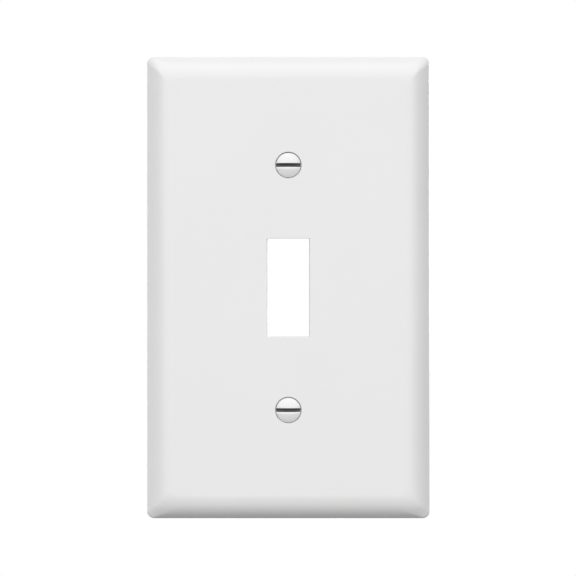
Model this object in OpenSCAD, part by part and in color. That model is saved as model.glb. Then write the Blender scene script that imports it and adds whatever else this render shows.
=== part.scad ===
// One-gang toggle wall plate with captive oval-head screws.
// +Z is up, +X is to the right, and the front face looks along -Y.
// The origin is the centre of the wall plane, which is the plane of the
// plate's rear rim. Everything in front of the wall has a negative y.

/* [Plate] */
// Width of the plate
plate_w = 70.1; // [68:0.1:90]
// Height of the plate
plate_h = 114.3; // [112:0.1:135]
// Depth from the wall to the front face
plate_d = 5.6; // [5:0.1:7]
// Width of the crowned border that runs round the front
crown_w = 6.2; // [4:0.1:8]
// Slope of the crown where it meets the side wall, in degrees
crown_slope = 45; // [35:1:50]
// Radius of the four outer corners
corner_r = 1.8; // [0.5:0.1:3]
// Thickness of the front skin
skin_t = 2.0; // [1.6:0.1:2.4]
// Thickness of the side walls at the rear rim
wall_t = 2.0; // [1.2:0.1:2.8]

/* [Toggle opening] */
// Width of the opening for the toggle
opening_w = 10.4; // [10:0.1:12]
// Height of the opening for the toggle
opening_h = 24.2; // [23:0.1:26]
// Wall thickness of the collar behind the opening
collar_t = 1.2; // [0.8:0.1:1.6]
// Distance from the wall plane to the rear edge of the collar and ribs
collar_gap = 1.8; // [1.6:0.1:2.2]
// Thickness of the stiffening ribs
rib_t = 1.2; // [0.8:0.1:1.6]

/* [Screw holes] */
// Distance between the two screw holes, centre to centre
screw_spacing = 60.325; // [58:0.025:64]
// Diameter of the through holes
hole_d = 4.0; // [3.7:0.1:4.6]
// Diameter of the countersink at the front face
sink_d = 6.6; // [6.4:0.1:7.4]
// Included angle of the countersink and of the screw head, in degrees
sink_angle = 82; // [80:1:90]
// Diameter of the rear bosses round the screw holes
boss_d = 9.0; // [8.2:0.1:10]
// Distance from the wall plane to the rear end of the bosses
boss_gap = 2.6; // [2.5:0.1:3]

/* [Screws] */
// Diameter of the oval head
head_d = 6.2; // [5.8:0.1:6.3]
// Depth of the head's rim below the front face
head_recess = 0.2; // [0.2:0.05:0.4]
// Radius of the head's crown
crown_r = 7.5; // [5:0.1:9]
// Width of the driver slot
slot_w = 1.0; // [0.8:0.05:1.3]
// Depth of the driver slot from the top of the crown
slot_depth = 1.35; // [1:0.05:1.6]
// Diameter of the plain neck under the head
neck_d = 2.9; // [2.5:0.05:3.1]
// Outside diameter of the thread
thread_d = 3.5; // [3.3:0.05:3.55]
// Distance from the wall plane to the front end of the thread
thread_gap = 2.0; // [1.6:0.05:2.05]
// Length of the screw from the head's rim to the tip
screw_len = 15.9; // [12.7:0.1:22]
// Chamfer at the tip
tip_chamfer = 0.5; // [0.2:0.1:0.8]

/* [Retaining washers] */
// Outside diameter of the washers
washer_d = 8.0; // [6.5:0.1:8.2]
// Bore of the washers
washer_bore = 3.6; // [3.55:0.05:4]
// Thickness of the washers
washer_t = 0.45; // [0.3:0.05:0.5]
// Gap between a washer and its boss
washer_gap = 0.05; // [0.02:0.01:0.1]

/* [Hidden] */
$fn = 96;
overrun = 1;                                // how far cutters pass the surface

plate_color = [0.93, 0.93, 0.92];
screw_color = [0.88, 0.88, 0.87];
washer_color = [0.80, 0.79, 0.74];

// Shell
crown_arc_r = crown_w / sin(crown_slope);   // radius of the crowned border
cavity_w = plate_w - 2 * wall_t;
cavity_h = plate_h - 2 * wall_t;
cavity_d = plate_d - skin_t;
cavity_corner_r = 0.8;

// Collar, ribs and bosses
embed = 0.3;                                // how far they sink into the shell
stiffener_y = -cavity_d - embed;            // their front end, in the skin
long_rib_x = opening_w / 2 + collar_t / 2;  // centre lines of the collar walls
collar_z = opening_h / 2 + collar_t / 2;
long_rib_len = cavity_h + 2 * embed;
cross_rib_end_x = cavity_w / 2 + embed;

// Screws
screw_z = screw_spacing / 2;
half_angle = sink_angle / 2;
head_r = head_d / 2;
neck_r = neck_d / 2;
thread_r = thread_d / 2;
cone_h = (head_r - neck_r) / tan(half_angle);
crown_h = crown_r - sqrt(crown_r * crown_r - head_r * head_r);
rim_y = -(plate_d - head_recess);           // rim of a screw head
crown_top_y = rim_y - crown_h;
tip_y = rim_y + screw_len;

// A bar from front_y to back_y, centred on x and z.
module bar(x, z, width, height, front_y, back_y) {
    translate([x - width / 2, front_y, z - height / 2])
        cube([width, back_y - front_y, height]);
}

// A straight cylinder along y, at x = 0.
module rod(z, diameter, front_y, back_y) {
    translate([0, front_y, z]) rotate([-90, 0, 0])
        cylinder(d = diameter, h = back_y - front_y);
}

// What lies outside the crowned edge on the +x side of a block.
// inset is the distance from the side to where the arc starts.
module edge_cutter(width, length, depth, inset, arc_r) {
    difference() {
        translate([width / 2 - inset, -depth - overrun, -length / 2 - overrun])
            cube([inset + overrun, depth + overrun, length + 2 * overrun]);
        translate([width / 2 - inset, arc_r - depth, -length / 2 - 2 * overrun])
            cylinder(r = arc_r, h = length + 4 * overrun);
    }
}

// What lies outside the rounded corner at +x +z.
module corner_cutter(width, height, depth, radius) {
    x = width / 2 - radius;
    z = height / 2 - radius;
    difference() {
        translate([x, -depth - overrun, z])
            cube([radius + overrun, depth + 2 * overrun, radius + overrun]);
        translate([x, -depth - 2 * overrun, z]) rotate([-90, 0, 0])
            cylinder(r = radius, h = depth + 4 * overrun);
    }
}

// A block whose four front edges are crowned and mitre at the corners.
// Its front is at y = -depth and its back at y = back_y.
module crowned_block(width, height, depth, inset, arc_r, block_corner_r, back_y) {
    difference() {
        bar(0, 0, width, height, -depth, back_y);
        for (side = [0, 1]) mirror([side, 0, 0])
            edge_cutter(width, height, depth, inset, arc_r);
        for (turn = [-90, 90]) rotate([0, turn, 0])
            edge_cutter(height, width, depth, inset, arc_r);
        for (flip_x = [0, 1], flip_z = [0, 1])
            mirror([flip_x, 0, 0]) mirror([0, 0, flip_z])
                corner_cutter(width, height, depth, block_corner_r);
    }
}

// The hollow plate. The crowns inside and outside share their arc centres.
module shell() {
    difference() {
        crowned_block(plate_w, plate_h, plate_d, crown_w, crown_arc_r,
                      corner_r, 0);
        crowned_block(cavity_w, cavity_h, cavity_d, crown_w - wall_t,
                      crown_arc_r - skin_t, cavity_corner_r, overrun);
    }
}

// Collar behind the opening, two long ribs, the cross ribs and the bosses.
module stiffeners() {
    bar(0, 0, opening_w + 2 * collar_t, opening_h + 2 * collar_t,
        stiffener_y, -collar_gap);
    for (side = [-1, 1])
        bar(side * long_rib_x, 0, rib_t, long_rib_len,
            stiffener_y, -collar_gap);
    // Cross ribs, from the long ribs out to the side walls
    for (z = [-screw_z, -collar_z, collar_z, screw_z], side = [-1, 1])
        bar(side * (long_rib_x + cross_rib_end_x) / 2, z,
            cross_rib_end_x - long_rib_x, rib_t, stiffener_y, -collar_gap);
    // Bosses, each joined to the long ribs by a shallower rib
    for (z = [-screw_z, screw_z]) {
        bar(0, z, 2 * long_rib_x, rib_t, stiffener_y, -boss_gap);
        rod(z, boss_d, stiffener_y, -boss_gap);
    }
}

// A countersunk through hole. The cone starts in front of the face, where
// it is wider than sink_d by the overrun on each side.
module screw_hole(z) {
    rod(z, hole_d, -plate_d - overrun, overrun);
    translate([0, -plate_d - overrun / tan(half_angle), z])
        rotate([-90, 0, 0])
            cylinder(d1 = sink_d + 2 * overrun, d2 = 0,
                     h = (sink_d / 2 + overrun) / tan(half_angle));
}

// Half section of a screw: x is the radius, y is the plate's y.
module screw_profile() {
    // Cone, neck, thread and tip
    polygon([
        [0, rim_y],
        [head_r, rim_y],
        [neck_r, rim_y + cone_h],
        [neck_r, -thread_gap - (thread_r - neck_r)],
        [thread_r, -thread_gap],
        [thread_r, tip_y - tip_chamfer],
        [thread_r - tip_chamfer, tip_y],
        [0, tip_y]
    ]);
    // Crown of the head
    intersection() {
        translate([0, crown_top_y + crown_r]) circle(r = crown_r);
        translate([0, crown_top_y - overrun])
            square([head_r + overrun, crown_h + overrun]);
    }
}

// One screw along y, with its driver slot lying along x.
module screw(z) {
    translate([0, 0, z]) rotate([-90, 0, 0]) difference() {
        rotate_extrude() screw_profile();
        translate([-head_r - overrun, -slot_w / 2, crown_top_y - overrun])
            cube([2 * head_r + 2 * overrun, slot_w, slot_depth + overrun]);
    }
}

// A thin washer just behind its boss, which keeps the screw in the plate.
module retainer(z) {
    front_y = -boss_gap + washer_gap;
    back_y = front_y + washer_t;
    difference() {
        rod(z, washer_d, front_y, back_y);
        rod(z, washer_bore, front_y - overrun, back_y + overrun);
    }
}

module cover_plate() {
    color(plate_color) difference() {
        union() {
            shell();
            stiffeners();
        }
        bar(0, 0, opening_w, opening_h, -plate_d - overrun, overrun);
        for (z = [-screw_z, screw_z]) screw_hole(z);
    }
}

module upper_screw() { color(screw_color) screw(screw_z); }

module lower_screw() { color(screw_color) screw(-screw_z); }

module upper_screw_retainer() { color(washer_color) retainer(screw_z); }

module lower_screw_retainer() { color(washer_color) retainer(-screw_z); }

cover_plate();
upper_screw();
lower_screw();
upper_screw_retainer();
lower_screw_retainer();
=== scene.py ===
"""Looks of a wall plate: the moulded plate, its two oval-head screws and their retaining washers.

Meshes are built in millimetres in the row frame (+X right, +Z up, the front looks along -Y, the
rear along +Y, the wall plane is y = 0) and scaled to metres once they are finished.
"""
from math import ceil, cos, pi, radians, sin, sqrt, tan

import bmesh
import bpy
import numpy as np
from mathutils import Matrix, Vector


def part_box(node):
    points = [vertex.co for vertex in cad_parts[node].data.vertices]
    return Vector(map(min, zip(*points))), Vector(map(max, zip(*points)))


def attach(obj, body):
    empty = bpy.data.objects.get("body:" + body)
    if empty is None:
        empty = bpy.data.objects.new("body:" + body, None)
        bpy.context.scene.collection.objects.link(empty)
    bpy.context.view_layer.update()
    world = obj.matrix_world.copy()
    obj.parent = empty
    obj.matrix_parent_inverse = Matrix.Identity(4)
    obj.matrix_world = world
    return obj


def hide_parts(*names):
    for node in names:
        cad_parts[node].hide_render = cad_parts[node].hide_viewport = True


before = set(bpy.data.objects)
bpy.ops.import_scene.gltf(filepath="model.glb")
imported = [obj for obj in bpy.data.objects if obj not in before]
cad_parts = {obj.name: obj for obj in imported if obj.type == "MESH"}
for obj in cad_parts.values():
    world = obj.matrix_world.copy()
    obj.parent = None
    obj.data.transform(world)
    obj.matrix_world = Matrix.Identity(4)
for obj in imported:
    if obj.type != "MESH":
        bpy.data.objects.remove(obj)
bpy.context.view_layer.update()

MM = 0.001
scene = bpy.context.scene


# ---------------------------------------------------------------- sizes, in millimetres

def box_mm(node):
    low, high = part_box(node)
    return np.array(low) / MM, np.array(high) / MM


plate_lo, plate_hi = box_mm("cover_plate")
upper_lo, upper_hi = box_mm("upper_screw")
lower_lo, lower_hi = box_mm("lower_screw")
washer_lo, washer_hi = box_mm("upper_screw_retainer")

# the plate
HALF_WIDTH, HALF_HEIGHT = plate_hi[0], plate_hi[2]
FRONT = plate_lo[1]                          # y of the front face
BORDER_W = 6.2                               # width of the crowned border
SKIN = 2.0
FLOOR = FRONT + SKIN                         # rear side of the skin
OPEN_X, OPEN_Z = 5.2, 12.1                   # half size of the toggle opening
COLLAR_T, COLLAR_TOP = 1.2, -1.8             # wall round the opening and the y of its crest
BOSS_R, BOSS_TOP = 4.5, -2.6
HOLE_R, SINK_R = 2.0, 3.24                   # through hole and mouth of the countersink
CONE_TAN = tan(radians(82 / 2))              # of the countersink and of the screw heads

# the screws
UPPER_Z = (upper_lo[2] + upper_hi[2]) / 2
LOWER_Z = (lower_lo[2] + lower_hi[2]) / 2
HEAD_R = (upper_hi[2] - upper_lo[2]) / 2 - 0.08   # less the gap the paint and the fit leave
CROWN_Y, TIP_Y = upper_lo[1], upper_hi[1]
CROWN_R = 7.5                                # sphere radius of the crowned head
RIM_Y = FRONT + 0.2                          # rim of a seated screw head
LAND = 0.38                                  # straight rim of a head before its cone
SLOT_HALF = 0.44
NECK_R, THREAD_R, PITCH = 1.45, 1.75, 0.79375
MINOR_R = THREAD_R - 0.44                    # at the root of the thread
POINT_R = MINOR_R - 0.08                     # of the flat end
THREAD_Y = -2.3                              # where the thread starts
SCREW_SEG = 72

# the washers
WASHER_R = (washer_hi[2] - washer_lo[2]) / 2
WASHER_Y0, WASHER_Y1 = washer_lo[1], washer_hi[1]
BORE_R = 1.80


# ---------------------------------------------------------------- mesh helpers

# the signs of x and z at each corner, and the angle at which its arc starts
CORNERS = ((1, 1, 0), (-1, 1, 90), (-1, -1, 180), (1, -1, 270))


def angles(start, stop, steps):
    """Evenly spaced angles in radians, both ends included."""
    return [radians(start + (stop - start) * i / steps) for i in range(steps + 1)]


def circle(radius, y, seg, cx=0.0, cz=0.0):
    turn = [2 * pi * j / seg for j in range(seg)]
    return [(cx + radius * sin(angle), y, cz + radius * cos(angle)) for angle in turn]


def bridge(first, second, count):
    """Quads between two rings of count points that start at the given indices."""
    faces = []
    for j in range(count):
        k = (j + 1) % count
        faces.append((first + j, first + k, second + k, second + j))
    return faces


def mesh_object(name, verts, faces):
    mesh = bpy.data.meshes.new(name)
    mesh.from_pydata([tuple(map(float, v)) for v in verts], [], faces)
    bm = bmesh.new()
    bm.from_mesh(mesh)
    bmesh.ops.remove_doubles(bm, verts=bm.verts, dist=2e-6)
    bmesh.ops.dissolve_degenerate(bm, dist=1e-6, edges=bm.edges)
    bmesh.ops.recalc_face_normals(bm, faces=bm.faces)
    bm.to_mesh(mesh)
    bm.free()
    obj = bpy.data.objects.new(name, mesh)
    scene.collection.objects.link(obj)
    return obj


def loft(name, rings):
    """A closed solid through rings of equal length, with a flat cap at each end."""
    count = len(rings[0])
    verts = [point for ring in rings for point in ring]
    faces = []
    for i in range(len(rings) - 1):
        faces += bridge(i * count, (i + 1) * count, count)
    faces.append(tuple(range(count)))
    faces.append(tuple(range(len(verts) - 1, len(verts) - 1 - count, -1)))
    return mesh_object(name, verts, faces)


def rounded_rect(half_x, half_z, radius, y, steps=8, cz=0.0):
    """Points round a rectangle with rounded corners, at depth y."""
    points = []
    for sx, sz, start in CORNERS:
        for angle in angles(start, start + 90, steps):
            points.append((sx * (half_x - radius) + radius * cos(angle), y,
                           cz + sz * (half_z - radius) + radius * sin(angle)))
    return points


def revolve(name, profile, cx=0.0, cz=0.0, seg=96):
    """A closed solid of revolution about the y axis from (radius, y) pairs, with flat ends."""
    return loft(name, [circle(radius, y, seg, cx, cz) for radius, y in profile])


class Path:
    """A profile walked in (inset, y), where inset is the distance in from the side.

    Heading 0 runs outwards, 90 to the rear.
    """

    def __init__(self, inset, y):
        self.inset, self.y, self.heading = inset, y, 0.0
        self.points = [(inset, y)]

    def line(self, length):
        self.inset -= length * cos(radians(self.heading))
        self.y += length * sin(radians(self.heading))
        self.points.append((self.inset, self.y))
        return self

    def to_y(self, y):
        return self.line((y - self.y) / sin(radians(self.heading)))

    def arc(self, radius, heading, steps):
        """Turns to the new heading."""
        sign = 1 if heading > self.heading else -1
        centre = self.inset + sign * radius * sin(radians(self.heading))
        centre_y = self.y + sign * radius * cos(radians(self.heading))
        for angle in angles(self.heading, heading, steps)[1:]:
            self.inset = centre - sign * radius * sin(angle)
            self.y = centre_y - sign * radius * cos(angle)
            self.points.append((self.inset, self.y))
        self.heading = heading
        return self


def boolean(target, cutter, operation):
    """Applies the boolean and deletes the cutter."""
    modifier = target.modifiers.new("cut", "BOOLEAN")
    modifier.operation = operation
    modifier.solver = "MANIFOLD"
    modifier.object = cutter
    bpy.context.view_layer.update()
    depsgraph = bpy.context.evaluated_depsgraph_get()
    mesh = bpy.data.meshes.new_from_object(target.evaluated_get(depsgraph))
    target.modifiers.clear()
    spent = (target.data, cutter.data)
    target.data = mesh
    bpy.data.objects.remove(cutter)
    for old in spent:
        bpy.data.meshes.remove(old)


def finish_mesh(obj, sharp_deg, lift=0.0):
    """Lifts and cleans a millimetre mesh, scales it to metres and sets its shading."""
    mesh = obj.data
    for vertex in mesh.vertices:
        vertex.co.z += lift
    bm = bmesh.new()
    bm.from_mesh(mesh)
    bmesh.ops.remove_doubles(bm, verts=bm.verts, dist=2e-4)
    bmesh.ops.dissolve_degenerate(bm, dist=1e-4, edges=bm.edges)
    loose = [v for v in bm.verts if not v.link_faces]
    bmesh.ops.delete(bm, geom=loose, context="VERTS")
    bmesh.ops.recalc_face_normals(bm, faces=bm.faces)
    bmesh.ops.scale(bm, vec=(MM, MM, MM), verts=bm.verts)
    for face in bm.faces:
        face.smooth = True
    bm.to_mesh(mesh)
    bm.free()
    mesh.set_sharp_from_angle(angle=radians(sharp_deg))
    weighted = obj.modifiers.new("weighted", "WEIGHTED_NORMAL")
    weighted.mode = "FACE_AREA_WITH_ANGLE"
    weighted.weight = 60
    weighted.keep_sharp = True
    return obj


def set_materials(obj, *materials):
    obj.data.materials.clear()
    for material in materials:
        obj.data.materials.append(material)


# ---------------------------------------------------------------- the plate's shell

# arcs of the border's front as (radius, heading, steps); both lists have 24 steps in all
END_ARCS = ((11.0, 12, 8), (6.5, 42, 16))
SIDE_ARCS = ((10.06, 8, 6), (6.66, 28, 12), (11.6, 38, 6))   # the long sides fall a little sooner
OUTER_REAR_R, INNER_REAR_R = 0.26, 0.22      # rounding of the rim's rear edges


def front_path(arcs, slope):
    """The border from the flat front round the outer edge to the wall; slope is its straight."""
    path = Path(BORDER_W, FRONT)
    for radius, heading, steps in arcs:
        path.arc(radius, heading, steps)
    path.line(slope).arc(radius=0.7, heading=88, steps=9)
    return path.to_y(-OUTER_REAR_R).arc(OUTER_REAR_R, heading=180, steps=6).points


def inner_path():
    path = Path(BORDER_W, FLOOR)
    path.arc(radius=6.6, heading=38, steps=14).arc(radius=0.5, heading=88, steps=6)
    return path.to_y(-INNER_REAR_R).arc(INNER_REAR_R, heading=0, steps=5).points


def border_share(inset):
    """0 at the inner side of the border, 1 at the plate's side."""
    return min(1.0, (BORDER_W - inset) / BORDER_W)


def shell():
    ends, sides = front_path(END_ARCS, slope=0.66), front_path(SIDE_ARCS, slope=0.80)
    # the widest ring meets the true size
    end_shift, side_shift = min(ends)[0], min(sides)[0]
    rings = []
    for (end_inset, end_y), (side_inset, side_y) in zip(ends, sides):
        swell = sin(pi * border_share(end_inset))    # halfway up, the corner is a wide oval
        corner_x, corner_z = 1.6 + 2.4 * swell, 1.6 + 0.4 * swell
        half_x = HALF_WIDTH - side_inset + side_shift
        half_z = HALF_HEIGHT - end_inset + end_shift
        ring = []
        for sx, sz, start in CORNERS:
            for angle in angles(start, start + 90, 12):
                ring.append((sx * (half_x - corner_x) + corner_x * cos(angle),
                             side_y * cos(angle) ** 2 + end_y * sin(angle) ** 2,
                             sz * (half_z - corner_z) + corner_z * sin(angle)))
        rings.append(ring)
    for inset, y in reversed(inner_path()):
        share = border_share(inset)
        radius = 0.5 + 0.6 * share + 0.8 * (1 - share) ** 2
        rings.append(rounded_rect(HALF_WIDTH - inset, HALF_HEIGHT - inset, radius, y, steps=12))
    return loft("cover_plate_moulding", rings)


# ---------------------------------------------------------------- features behind the skin

def raised_profile(base, top, draft, fillet, tip):
    """One side of a wall that stands on the floor, as (offset, y).

    It is base wide at the foot and narrower by draft at the crest, which lies at y = top;
    fillet and tip are the radii at the foot and at the crest.
    """
    foot_y, sunk = FLOOR - 0.01, 0.2
    profile = [(base + fillet, foot_y - sunk)]
    for angle in angles(0, 90, 6):
        profile.append((base + fillet - fillet * sin(angle), foot_y + fillet - fillet * cos(angle)))
    for angle in angles(0, 90, 5):
        profile.append((base - draft - tip + tip * cos(angle), top - tip + tip * sin(angle)))
    return profile


def rib(along, centre, span, width, top):
    """A rib along 'x' or 'z' over a span; centre is its other coordinate."""
    half = raised_profile(width / 2, top, draft=0.05, fillet=0.35, tip=0.22)
    section = half + [(-u, y) for u, y in reversed(half)]
    if along == "z":
        rings = [[(centre + u, y, end) for u, y in section] for end in span]
    else:
        rings = [[(end, y, centre + u) for u, y in section] for end in span]
    return loft("rib", rings)


def collar():
    half_x, half_z, corner = OPEN_X + COLLAR_T, OPEN_Z + COLLAR_T, 0.9
    profile = raised_profile(0.0, COLLAR_TOP, draft=0.05, fillet=0.4, tip=0.25)
    return loft("collar", [rounded_rect(half_x + grow, half_z + grow, corner + grow, y)
                           for grow, y in profile])


def boss(z):
    profile = raised_profile(BOSS_R, BOSS_TOP, draft=0.02, fillet=0.4, tip=0.2)
    return revolve("boss", profile, cz=z, seg=80)


def opening_cutter():
    """Cuts the toggle opening, with rolled edges.

    The end walls open towards the rear, the upper one most; the sides close a little.
    """
    # of the two sides, the top and the bottom
    roll = np.array((0.22, 0.05, 0.10))
    draft = np.array((-0.04, 0.15, 0.03))
    roll_depth, flare, over = 0.22, 0.2, 0.02
    rows = [(roll + over, FRONT - 1.5)]
    for angle in angles(4, 90, 6):
        rows.append((roll - roll * sin(angle), FRONT + roll_depth - roll_depth * cos(angle)))
    for angle in angles(0, 86, 5):
        rows.append((draft + flare - flare * cos(angle), COLLAR_TOP - flare + flare * sin(angle)))
    rows.append((draft + flare + over, 1.5))
    rings = []
    for (side, top, bottom), y in rows:
        rings.append(rounded_rect(OPEN_X + side, OPEN_Z + (top + bottom) / 2, 0.30, y,
                                  steps=6, cz=(top - bottom) / 2))
    return loft("opening", rings)


def hole_cutter(z):
    """A rolled edge, a short straight mouth, a seat, the 82 degree cone and the through hole."""
    roll, flare = 0.10, 0.14
    seat_y, seat_r = FRONT + 0.75, SINK_R - 0.36
    cone_end_r = HOLE_R + 0.04
    profile = [(SINK_R + roll + 0.01, FRONT - 1.5), (SINK_R + roll, FRONT - 0.002)]
    for angle in angles(0, 88, 6)[1:]:
        profile.append((SINK_R + roll - roll * sin(angle), FRONT + roll - roll * cos(angle)))
    profile += [
        # the foot of the mouth, rounded into the seat
        (SINK_R - 0.012, seat_y - 0.06), (SINK_R - 0.03, seat_y - 0.017), (SINK_R - 0.07, seat_y),
        # the seat's inner edge and the cone
        (seat_r, seat_y + 0.005),
        (cone_end_r, seat_y + (seat_r - cone_end_r) / CONE_TAN),
        (HOLE_R, seat_y + (seat_r - HOLE_R) / CONE_TAN + 0.05),
    ]
    for angle in angles(0, 86, 5):
        profile.append((HOLE_R + flare - flare * cos(angle), BOSS_TOP - flare + flare * sin(angle)))
    profile.append((HOLE_R + flare + 0.01, 0.5))
    return revolve("hole", profile, cz=z)


# small round features as (radius, y behind the floor)
PIN_MARK = ((1.88, -0.11), (1.93, -0.07), (1.97, 0.6))
PIN_RING = ((2.20, -0.05), (2.15, 0.030), (2.09, 0.045), (2.0, 0.045))
GATE_STUB = ((1.5, -0.2), (1.35, 0.02), (0.75, 0.12), (0.62, 0.30), (0.5, 0.36), (0.3, 0.33),
             (0.12, 0.40))


def floor_feature(name, table, x, z, seg):
    return revolve(name, [(radius, FLOOR + y) for radius, y in table], x, z, seg)


def build_plate():
    plate = shell()
    boolean(plate, collar(), "UNION")

    # ribs stop inside the border's wall
    end_x, end_z = HALF_WIDTH - 1.5, HALF_HEIGHT - 1.5
    collar_x, collar_z = OPEN_X + COLLAR_T / 2 - 0.05, OPEN_Z + COLLAR_T / 2
    for sign in (-1, 1):
        for x in (-collar_x, collar_x):
            span = sorted((sign * (OPEN_Z + 0.65), sign * end_z))
            boolean(plate, rib("z", x, span, width=1.1, top=-1.9), "UNION")
    for z in (-UPPER_Z, -collar_z, collar_z, UPPER_Z):
        for sign in (-1, 1):
            span = sorted((sign * 5.5, sign * end_x))
            boolean(plate, rib("x", z, span, width=1.14, top=-1.96), "UNION")
    for z in (-UPPER_Z, UPPER_Z):
        boolean(plate, rib("x", z, (-5.6, 5.6), width=1.14, top=-2.72), "UNION")
        boolean(plate, boss(z), "UNION")

    # shallow witness marks of the ejector pins, each with a slightly raised ring
    for x in (-20.5, 20.5):
        for z in (-43.5, -21.4, 0.0, 21.4, 43.5):
            boolean(plate, floor_feature("pin_ring", PIN_RING, x, z, seg=48), "UNION")
            boolean(plate, floor_feature("pin_mark", PIN_MARK, x, z, seg=48), "DIFFERENCE")
    # the stub left where the gate was broken off
    boolean(plate, floor_feature("gate_stub", GATE_STUB, 0.0, 46.0, seg=32), "UNION")

    boolean(plate, opening_cutter(), "DIFFERENCE")
    for z in (-UPPER_Z, UPPER_Z):
        boolean(plate, hole_cutter(z), "DIFFERENCE")
    return finish_mesh(plate, sharp_deg=33)


# ---------------------------------------------------------------- the screws

def crown_y(x, z):
    """Depth of the crowned head at x, z from the screw's axis."""
    return CROWN_Y + CROWN_R - sqrt(CROWN_R ** 2 - x * x - z * z)


def thread_profile():
    """Rows over one pitch as (share of the pitch, share of the thread's depth)."""
    # where the flat crest, its rounded shoulder and the flank end, and the root's middle
    crest, shoulder, flank, root = 0.045, 0.11, 0.385, 0.5
    shoulder_h, flank_h = 0.88, 0.08
    rows = []
    for share in (0.0, crest, 0.075, shoulder, 0.18, 0.26, 0.34, flank, 0.42, 0.46, root):
        if share <= crest:
            height = 1.0
        elif share <= shoulder:
            height = 1.0 - (1.0 - shoulder_h) * ((share - crest) / (shoulder - crest)) ** 1.6
        elif share <= flank:
            fall = (share - shoulder) / (flank - shoulder)
            height = shoulder_h - (shoulder_h - flank_h) * fall
        else:
            height = flank_h * (1 - (share - flank) / (root - flank)) ** 2
        rows.append((share, height))
    return rows + [(1 - share, height) for share, height in reversed(rows[1:-1])]


def thread_radius(height, y):
    """The thread grows out of the neck over its first turns and is chamfered at the point."""
    if y >= TIP_Y - 1e-9:
        return POINT_R
    full = MINOR_R + (THREAD_R - 0.004 - MINOR_R) * height
    grown = min(1.0, (y - THREAD_Y) / (1.25 * PITCH))
    grown = grown * grown * (3 - 2 * grown)
    radius = NECK_R + (full - NECK_R) * grown
    chamfer_length, chamfer_slope = 0.62, 0.87
    chamfer = THREAD_R + 0.02 - max(0.0, y - (TIP_Y - chamfer_length)) * chamfer_slope
    return min(radius, max(chamfer, POINT_R))


def head_profile():
    """Rings of (radius, y) from near the crown's centre back to the start of the thread."""
    edge = 0.03                                  # rounding between the crown, land and cone
    rim_r = HEAD_R - edge
    profile = [(rim_r * i / 14, crown_y(rim_r * i / 14, 0)) for i in range(1, 15)]
    rim_y = profile[-1][1]
    cone_y = rim_y + LAND
    profile += [(HEAD_R - 0.008, rim_y + 0.022), (HEAD_R - 0.002, rim_y + 0.05),
                (HEAD_R - 0.004, cone_y - 0.03), (rim_r, cone_y)]

    fillet, fillet_length = 0.25, 0.30           # where the cone runs into the neck
    cone_end_r = NECK_R + fillet * (1 - cos(radians(41))) + 0.02
    for i in range(1, 6):
        radius = rim_r + (cone_end_r - rim_r) * i / 5
        profile.append((radius, cone_y + (rim_r - radius) / CONE_TAN))
    fillet_y = profile[-1][1]
    for i in range(1, 6):
        share = i / 5
        profile.append((cone_end_r + (NECK_R - cone_end_r) * (1 - (1 - share) ** 2),
                        fillet_y + fillet_length * share))
    neck_y = profile[-1][1]
    for i in range(1, 4):
        profile.append((NECK_R, neck_y + (THREAD_Y - neck_y) * i / 3))
    return profile


def screw_body(name):
    verts, faces = [], []

    def add_rings(profile):
        first = len(verts)
        for radius, y in profile:
            verts.extend(circle(radius, y, SCREW_SEG))
        return list(range(first, len(verts), SCREW_SEG))

    def join_rings(starts):
        for first, second in zip(starts, starts[1:]):
            faces.extend(bridge(first, second, SCREW_SEG))

    # the head and neck
    head = add_rings(head_profile())
    apex = len(verts)
    verts.append((0, CROWN_Y, 0))
    for j in range(SCREW_SEG):
        faces.append((apex, head[0] + (j + 1) % SCREW_SEG, head[0] + j))
    join_rings(head)

    # the thread: rows follow the helix, and rows past either end collapse on to the end rings
    profile = thread_profile()
    per_turn = len(profile)
    rows = (int(ceil((TIP_Y - THREAD_Y) / PITCH)) + 4) * per_turn
    base_y = THREAD_Y - 2.2 * PITCH
    thread = len(verts)
    for row in range(rows):
        share, height = profile[row % per_turn]
        for j in range(SCREW_SEG):
            y = base_y + PITCH * (row // per_turn + share + j / SCREW_SEG)
            y = min(max(y, THREAD_Y), TIP_Y)
            radius = thread_radius(height, y)
            angle = 2 * pi * j / SCREW_SEG
            verts.append((radius * sin(angle), y, radius * cos(angle)))

    def index(row, j):
        """A full turn on, a row meets the one a pitch further along."""
        if j == SCREW_SEG:
            row, j = row + per_turn, 0
        return thread + min(row, rows - 1) * SCREW_SEG + j

    for row in range(rows - 1):
        for j in range(SCREW_SEG):
            faces.append((index(row, j), index(row, j + 1),
                          index(row + 1, j + 1), index(row + 1, j)))
    join_rings([head[-1], thread])
    # collapsed faces go
    faces = [face for face in faces
             if len({tuple(np.round(verts[i], 7)) for i in face}) >= 3]

    # the point: a flat ring with a shallow dish
    tip = add_rings(((POINT_R, TIP_Y), (MINOR_R - 0.17, TIP_Y),
                     (0.7, TIP_Y - 0.05), (0.25, TIP_Y - 0.09)))
    join_rings(tip)
    centre = len(verts)
    verts.append((0, TIP_Y - 0.095, 0))
    for j in range(SCREW_SEG):
        faces.append((centre, tip[-1] + j, tip[-1] + (j + 1) % SCREW_SEG))
    return mesh_object(name, verts, faces)


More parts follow.
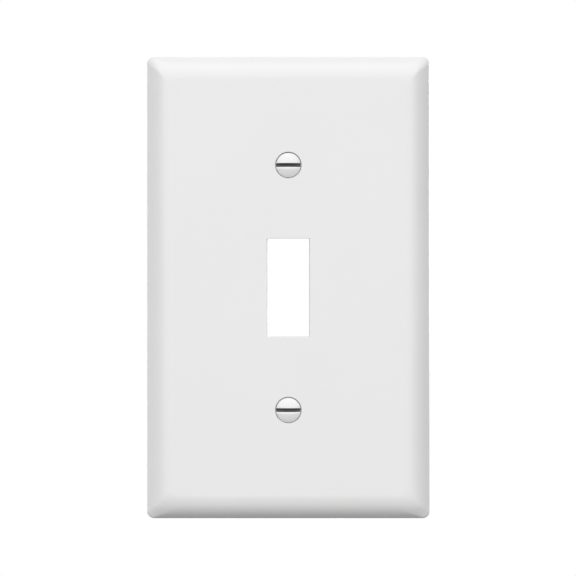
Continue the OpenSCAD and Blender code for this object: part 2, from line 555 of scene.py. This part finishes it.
def slot_side(x, roll, roll_depth):
    """Half a section of the driver slot at x, from the floor out, as (offset, y)."""
    depth, floor_radius = 1.27, 15               # the slotting saw leaves a hollow floor
    lip_y = crown_y(min(abs(x), 3.9), SLOT_HALF + 0.9 * roll)
    bottom = CROWN_Y + depth - min(abs(x), HEAD_R) ** 2 / (2 * floor_radius)
    side = [(SLOT_HALF - 0.09, bottom), (SLOT_HALF - 0.03, bottom - 0.03),
            (SLOT_HALF, bottom - 0.09), (SLOT_HALF, lip_y + roll_depth)]
    for angle in angles(0, 86, 8)[1:]:
        side.append((SLOT_HALF + roll - roll * cos(angle),
                     lip_y + roll_depth - roll_depth * sin(angle)))
    return side + [(SLOT_HALF + roll * 1.01, CROWN_Y - 1.5)]


def slot_cutter():
    """The driver slot, its edges rolled over as thick paint leaves them."""
    reach = HEAD_R + 0.6
    rings = []
    for x in np.linspace(-reach, reach, 41):
        upper = slot_side(x, roll=0.15, roll_depth=0.10)
        lower = slot_side(x, roll=0.42, roll_depth=0.19)     # the paint is thicker here
        rings.append([(x, y, u) for u, y in upper] + [(x, y, -u) for u, y in reversed(lower)])
    return loft("slot", rings)


def build_screw(name, axis_z):
    screw = screw_body(name)
    boolean(screw, slot_cutter(), "DIFFERENCE")
    return finish_mesh(screw, sharp_deg=40, lift=axis_z)


def mark_slot_faces(screw, axis_z):
    """Gives the faces inside the driver slot the second material, its painted shade."""
    for face in screw.data.polygons:
        x, y, z = face.center / MM
        z -= axis_z
        inside = abs(z) < SLOT_HALF + 0.004 and y < RIM_Y + 0.8
        face.material_index = 1 if inside and y > crown_y(x, z) + 0.11 else 0


# ---------------------------------------------------------------- the retaining washers

def washer_profile():
    """The closed section as (radius, y), its four edges rounded."""
    edge = 0.07
    outer_r, inner_r = WASHER_R - edge, BORE_R + edge    # centres of the edge rounds
    front, rear = WASHER_Y0 + edge, WASHER_Y1 - edge
    coarse, fine = angles(0, 90, 3), angles(0, 90, 4)
    return ([(outer_r + edge * sin(a), front - edge * cos(a)) for a in fine]
            + [(outer_r + edge * cos(a), rear + edge * sin(a)) for a in fine]
            + [(inner_r - edge * sin(a), rear + edge * cos(a)) for a in coarse]
            + [(inner_r - edge * cos(a), front - edge * sin(a)) for a in coarse])


def build_washer(name, axis_z):
    profile = washer_profile()
    seg, count = 96, len(profile)
    verts, faces = [], []
    for j in range(seg):
        angle = 2 * pi * j / seg
        verts += [(radius * sin(angle), y, radius * cos(angle)) for radius, y in profile]
        faces += bridge(j * count, ((j + 1) % seg) * count, count)
    washer = mesh_object(name, verts, faces)

    # radial slits, each with a round end, make the bore's edge into six small springs
    slit_half, slit_start, slit_end, end_r = 0.11, BORE_R - 0.4, BORE_R + 0.95, 0.19
    low, high = WASHER_Y0 - 0.3, WASHER_Y1 + 0.3
    for i in range(6):
        angle = radians(30 + 60 * i)
        dx, dz = cos(angle) * slit_half, -sin(angle) * slit_half
        rings = [[(radius * sin(angle) + sign * dx, y, radius * cos(angle) + sign * dz)
                  for sign, y in ((1, low), (-1, low), (-1, high), (1, high))]
                 for radius in (slit_start, slit_end)]
        boolean(washer, loft("slit", rings), "DIFFERENCE")
        round_end = revolve("slit_end", [(end_r, low), (end_r, high)],
                            slit_end * sin(angle), slit_end * cos(angle), seg=20)
        boolean(washer, round_end, "DIFFERENCE")
    return finish_mesh(washer, sharp_deg=35, lift=axis_z)


# ---------------------------------------------------------------- node helpers

def fill(tree, node, sockets):
    """Links or sets a node's inputs, given by name or number."""
    for key, value in sockets.items():
        if isinstance(value, bpy.types.NodeSocket):
            tree.links.new(value, node.inputs[key])
        else:
            node.inputs[key].default_value = value


def add_node(tree, kind, sockets=None, **settings):
    node = tree.nodes.new("ShaderNode" + kind)
    for key, value in settings.items():
        setattr(node, key, value)
    fill(tree, node, sockets or {})
    return node


def smooth_range(tree, value, span, to):
    """Maps the span of values smoothly on to another."""
    return add_node(tree, "MapRange", {
        "Value": value, "From Min": span[0], "From Max": span[1], "To Min": to[0], "To Max": to[1],
    }, interpolation_type="SMOOTHSTEP").outputs[0]


def empty_tree(owner):
    """The cleared node tree of a material or a world."""
    owner.use_nodes = True
    owner.node_tree.nodes.clear()
    return owner.node_tree


class Look:
    """A short way to write a principled material in object coordinates."""

    def __init__(self, name):
        self.material = bpy.data.materials.new(name)
        self.tree = empty_tree(self.material)
        output = self.tree.nodes.new("ShaderNodeOutputMaterial")
        self.principled = self.add("BsdfPrincipled")
        fill(self.tree, output, {"Surface": self.principled.outputs[0]})
        self.object_co = self.add("TexCoord").outputs["Object"]

    def add(self, kind, sockets=None, **settings):
        return add_node(self.tree, kind, sockets, **settings)

    def set(self, **sockets):
        fill(self.tree, self.principled,
             {key.replace("_", " "): value for key, value in sockets.items()})

    def noise(self, scale, detail, rough, distortion=0.0, vector=None):
        return self.add("TexNoise", {
            "Vector": vector or self.object_co, "Scale": scale, "Detail": detail,
            "Roughness": rough, "Distortion": distortion}).outputs["Fac"]

    def scaled(self, scale):
        return self.add("Mapping", {"Vector": self.object_co, "Scale": scale}).outputs["Vector"]

    def calc(self, operation, first, second=0.0):
        return self.add("Math", {0: first, 1: second, 2: 0.0}, operation=operation).outputs[0]

    def fade(self, value, span=(0.3, 0.7), to=(0, 1)):
        return smooth_range(self.tree, value, span, to)

    def mix(self, share, at_0, at_1):
        return self.add("Mix", {0: share, 6: at_0, 7: at_1}, data_type="RGBA").outputs[2]

    def bump(self, height, strength, distance, normal=None):
        sockets = {"Strength": strength, "Distance": distance, "Height": height}
        if normal:
            sockets["Normal"] = normal
        return self.add("Bump", sockets).outputs[0]

    def position(self):
        return self.add("SeparateXYZ", {0: self.object_co}).outputs

    def axis_distance(self, axis_z):
        """Distance from a screw's axis, in metres."""
        x, _, z = self.position()
        dz = self.calc("SUBTRACT", z, axis_z)
        squares = self.calc("ADD", self.calc("MULTIPLY", x, x), self.calc("MULTIPLY", dz, dz))
        return self.calc("SQRT", squares)


# ---------------------------------------------------------------- materials

def plate_material():
    look = Look("white_moulded_plastic")
    cloud = look.noise(scale=38, detail=3, rough=0.55, distortion=0.3)
    grain = look.noise(scale=5200, detail=3, rough=0.6)
    peel = look.noise(scale=420, detail=2, rough=0.5)
    wave = look.noise(scale=60, detail=1, rough=0.4)
    color = look.mix(look.fade(cloud),
                     at_0=(0.846, 0.846, 0.844, 1), at_1=(0.862, 0.862, 0.861, 1))

    # painted shade: the walls of the countersinks are greyed, most at the seat, to stand for the
    # shade in the gap round the screw heads
    y = look.position()[1]
    deep = look.fade(y, span=((FRONT + 0.10) * MM, (FRONT + 0.35) * MM))
    near = [look.fade(look.axis_distance(axis_z * MM),
                      span=((SINK_R + 0.05) * MM, (SINK_R + 0.10) * MM), to=(1, 0))
            for axis_z in (UPPER_Z, LOWER_Z)]
    walls = look.calc("MULTIPLY", look.calc("MAXIMUM", near[0], near[1]), deep)
    seat = look.fade(y, span=((FRONT + 0.62) * MM, (FRONT + 0.73) * MM), to=(0, 0.2))
    countersink_painted_shade = look.calc("ADD", look.fade(peel, span=(0.2, 0.6), to=(0.15, 0.3)), seat)
    # painted shade: mixes the countersink walls towards grey
    color = look.mix(look.calc("MULTIPLY", walls, countersink_painted_shade), at_0=color, at_1=(0.30, 0.30, 0.295, 1))

    rough = look.calc("ADD", look.fade(cloud, to=(0.30, 0.36)), look.fade(grain, to=(-0.02, 0.02)))
    normal = look.bump(wave, strength=0.35, distance=0.00012)
    normal = look.bump(peel, strength=0.30, distance=0.000012, normal=normal)
    normal = look.bump(grain, strength=0.35, distance=0.000003, normal=normal)
    look.set(Base_Color=color, Roughness=rough, Normal=normal, IOR=1.49, Subsurface_Weight=0.06,
             Subsurface_Scale=0.0008, Subsurface_Radius=(1.0, 1.0, 1.0))
    return look.material


def enamel_material(name, axis_z):
    """White enamel on the head, thinning under the cone to bright zinc; fine chips by the slot."""
    look = Look(name)
    _, y, z = look.position()
    distance = look.axis_distance(axis_z)
    fine = look.noise(scale=3000, detail=3, rough=0.6)
    speck = look.noise(scale=9000, detail=2, rough=0.6)
    blotch = look.noise(scale=900, detail=3, rough=0.6)

    # the paint ends behind the rim, in an uneven line of overspray
    uneven = 0.0011
    edge = look.calc("ADD", y, look.calc("MULTIPLY", look.calc("SUBTRACT", blotch, 0.5), uneven))
    bare = look.fade(edge, span=((RIM_Y + 0.75) * MM, (RIM_Y + 1.35) * MM))
    # chips where the driver has touched the slot's edges
    from_slot = look.calc("ABSOLUTE", look.calc("SUBTRACT", z, axis_z))
    near = look.fade(from_slot, span=(0.00054, 0.00062), to=(1, 0))
    front = look.fade(y, span=((RIM_Y - 0.05) * MM, (RIM_Y + 0.1) * MM), to=(1, 0))
    chip = look.calc("MULTIPLY", look.calc("MULTIPLY", near, front),
                     look.fade(blotch, span=(0.60, 0.64), to=(0, 0.8)))
    metal = look.calc("MAXIMUM", bare, chip)

    paint = look.mix(look.fade(fine), at_0=(0.850, 0.850, 0.847, 1), at_1=(0.880, 0.880, 0.878, 1))
    zinc = look.mix(look.fade(blotch, span=(0.35, 0.7)),
                    at_0=(0.66, 0.68, 0.70, 1), at_1=(0.74, 0.74, 0.72, 1))
    # darker towards the root of the thread
    root_darkening, root_darkening_strength = look.fade(distance, span=(0.00132, 0.00160), to=(1, 0)), 0.45
    zinc = look.mix(look.calc("MULTIPLY", root_darkening, root_darkening_strength),
                    at_0=zinc, at_1=(0.30, 0.29, 0.27, 1))

    metallic = 0.95
    rough = look.calc("ADD", look.fade(metal, span=(0, 1), to=(0.24, 0.30)),
                      look.fade(speck, to=(-0.03, 0.05)))
    normal = look.bump(fine, strength=0.35, distance=0.000006)
    normal = look.bump(speck, strength=0.25, distance=0.000003, normal=normal)
    look.set(Base_Color=look.mix(metal, at_0=paint, at_1=zinc),
             Metallic=look.calc("MULTIPLY", metal, metallic),
             Roughness=rough, IOR=1.5, Normal=normal)
    return look.material


def slot_shade_material():
    """The slot's dull steel, darkened nearly to black as painted shade for the deep, narrow slot.
    """
    look = Look("slot_steel_painted_shade")
    streak = look.noise(scale=1400, detail=3, rough=0.6, distortion=0.2,
                        vector=look.scaled((0.12, 1, 1)))
    speck = look.noise(scale=7000, detail=2, rough=0.6)
    color = look.mix(look.fade(streak, span=(0.3, 0.75)),
                     at_0=(0.075, 0.075, 0.075, 1), at_1=(0.115, 0.115, 0.115, 1))
    look.set(Base_Color=color, Metallic=0.2, Roughness=look.fade(speck, to=(0.5, 0.66)), IOR=1.5,
             Normal=look.bump(streak, strength=0.5, distance=0.00001))
    return look.material


def nylon_material():
    look = Look("natural_nylon")
    cloud = look.noise(scale=900, detail=3, rough=0.6)
    grain = look.noise(scale=7000, detail=2, rough=0.6)
    color = look.mix(look.fade(cloud), at_0=(0.70, 0.675, 0.58, 1), at_1=(0.76, 0.74, 0.66, 1))
    look.set(Base_Color=color, Roughness=look.fade(grain, to=(0.38, 0.5)), IOR=1.53,
             Subsurface_Weight=0.35, Subsurface_Scale=0.0009,
             Normal=look.bump(grain, strength=0.35, distance=0.000004),
             Subsurface_Radius=(1.0, 0.85, 0.6))
    return look.material


# ---------------------------------------------------------------- build and place the pieces

plate = build_plate()
set_materials(plate, plate_material())
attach(plate, "plate")
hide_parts("cover_plate")

slot_shade_steel = slot_shade_material()
nylon = nylon_material()
for side, axis_z in (("upper", UPPER_Z), ("lower", LOWER_Z)):
    screw = build_screw(side + "_oval_head_screw", axis_z)
    # the second material paints shade into the driver slot
    set_materials(screw, enamel_material(side + "_white_enamel", axis_z * MM), slot_shade_steel)
    mark_slot_faces(screw, axis_z)
    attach(screw, side + "_fixing")
    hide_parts(side + "_screw")

    washer = build_washer(side + "_retaining_washer", axis_z)
    set_materials(washer, nylon)
    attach(washer, side + "_washer")
    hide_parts(side + "_screw_retainer")


# ---------------------------------------------------------------- stage, light and camera

def floor_material():
    """Pale in the middle, fading out with distance, and clear from underneath."""
    material = bpy.data.materials.new("pale_floor")
    tree = empty_tree(material)
    pale = add_node(tree, "BsdfDiffuse", {"Color": (0.86, 0.86, 0.86, 1)})
    clear = add_node(tree, "BsdfTransparent")
    object_co = add_node(tree, "TexCoord").outputs["Object"]
    length = add_node(tree, "VectorMath", {0: object_co}, operation="LENGTH").outputs["Value"]
    fade = smooth_range(tree, length, span=(0.12, 0.40), to=(0.0, 1.0))
    underneath = add_node(tree, "NewGeometry").outputs["Backfacing"]
    both = add_node(tree, "Math", {0: fade, 1: underneath}, operation="MAXIMUM")
    mix = add_node(tree, "MixShader", {0: both.outputs[0], 1: pale.outputs[0], 2: clear.outputs[0]})
    add_node(tree, "OutputMaterial", {"Surface": mix.outputs[0]})
    return material


def add_floor():
    """A round floor well below the plate; sizes in metres."""
    radius, z, seg = 0.42, -0.13, 96
    turn = [2 * pi * i / seg for i in range(seg)]
    floor = mesh_object("floor", [(radius * cos(angle), radius * sin(angle), z) for angle in turn],
                        [tuple(range(seg))])
    floor.data.materials.append(floor_material())
    # the one face has to look up
    if floor.data.polygons[0].normal.z < 0:
        floor.data.flip_normals()
    floor.visible_diffuse = False
    floor.visible_glossy = False


def add_world():
    """White to the camera; to everything else a soft sky, brighter above than below."""
    scene.world = bpy.data.worlds.new("studio")
    tree = empty_tree(scene.world)
    white = add_node(tree, "Background", {"Color": (1, 1, 1, 1)})
    direction = add_node(tree, "TexCoord").outputs["Generated"]
    height = add_node(tree, "SeparateXYZ", {0: direction}).outputs["Z"]
    strength = smooth_range(tree, height, span=(-0.9, 0.9), to=(0.08, 0.12))
    sky = add_node(tree, "Background", {"Strength": strength})
    to_camera = add_node(tree, "LightPath").outputs["Is Camera Ray"]
    mix = add_node(tree, "MixShader", {0: to_camera, 1: sky.outputs[0], 2: white.outputs[0]})
    add_node(tree, "OutputWorld", {"Surface": mix.outputs[0]})


def add_sun(name, direction, strength, angle):
    """A distant soft light that shines from the given direction; angle in degrees."""
    light = bpy.data.lights.new(name, "SUN")
    light.energy = strength
    light.angle = radians(angle)
    obj = bpy.data.objects.new(name, light)
    scene.collection.objects.link(obj)
    obj.rotation_mode = "QUATERNION"
    obj.rotation_quaternion = Vector(direction).to_track_quat("Z", "Y")


def add_camera():
    """Looks straight at the front, with its centre a shade off the plate's."""
    view_width, view_y = 143.32, -0.5            # mm seen across, at this y
    center_x, center_z = -0.095, -0.09
    lens = bpy.data.cameras.new("camera")
    lens.lens = 120
    lens.sensor_width = 36
    lens.clip_start = 0.01
    lens.clip_end = 50
    camera = bpy.data.objects.new("camera", lens)
    scene.collection.objects.link(camera)
    distance = view_width * lens.lens / lens.sensor_width
    camera.location = (center_x * MM, (view_y - distance) * MM, center_z * MM)
    camera.rotation_mode = "XYZ"
    camera.rotation_euler = (pi / 2, 0, 0)
    scene.camera = camera


add_floor()
add_world()
add_sun("key", direction=(-0.035, -1.0, 0.568), strength=3.0, angle=80)
add_sun("top", direction=(0.0, 0.55, 1.0), strength=0.55, angle=30)
add_sun("left", direction=(-1.0, 0.50, 0.0), strength=0.82, angle=30)
add_sun("back_right", direction=(0.72, 0.68, 0.15), strength=2.9, angle=20)
add_sun("under", direction=(0.0, 1.0, -0.9), strength=0.18, angle=30)
add_camera()

scene.view_settings.view_transform = "Standard"
scene.view_settings.look = "None"
scene.view_settings.exposure = 0
scene.view_settings.gamma = 1
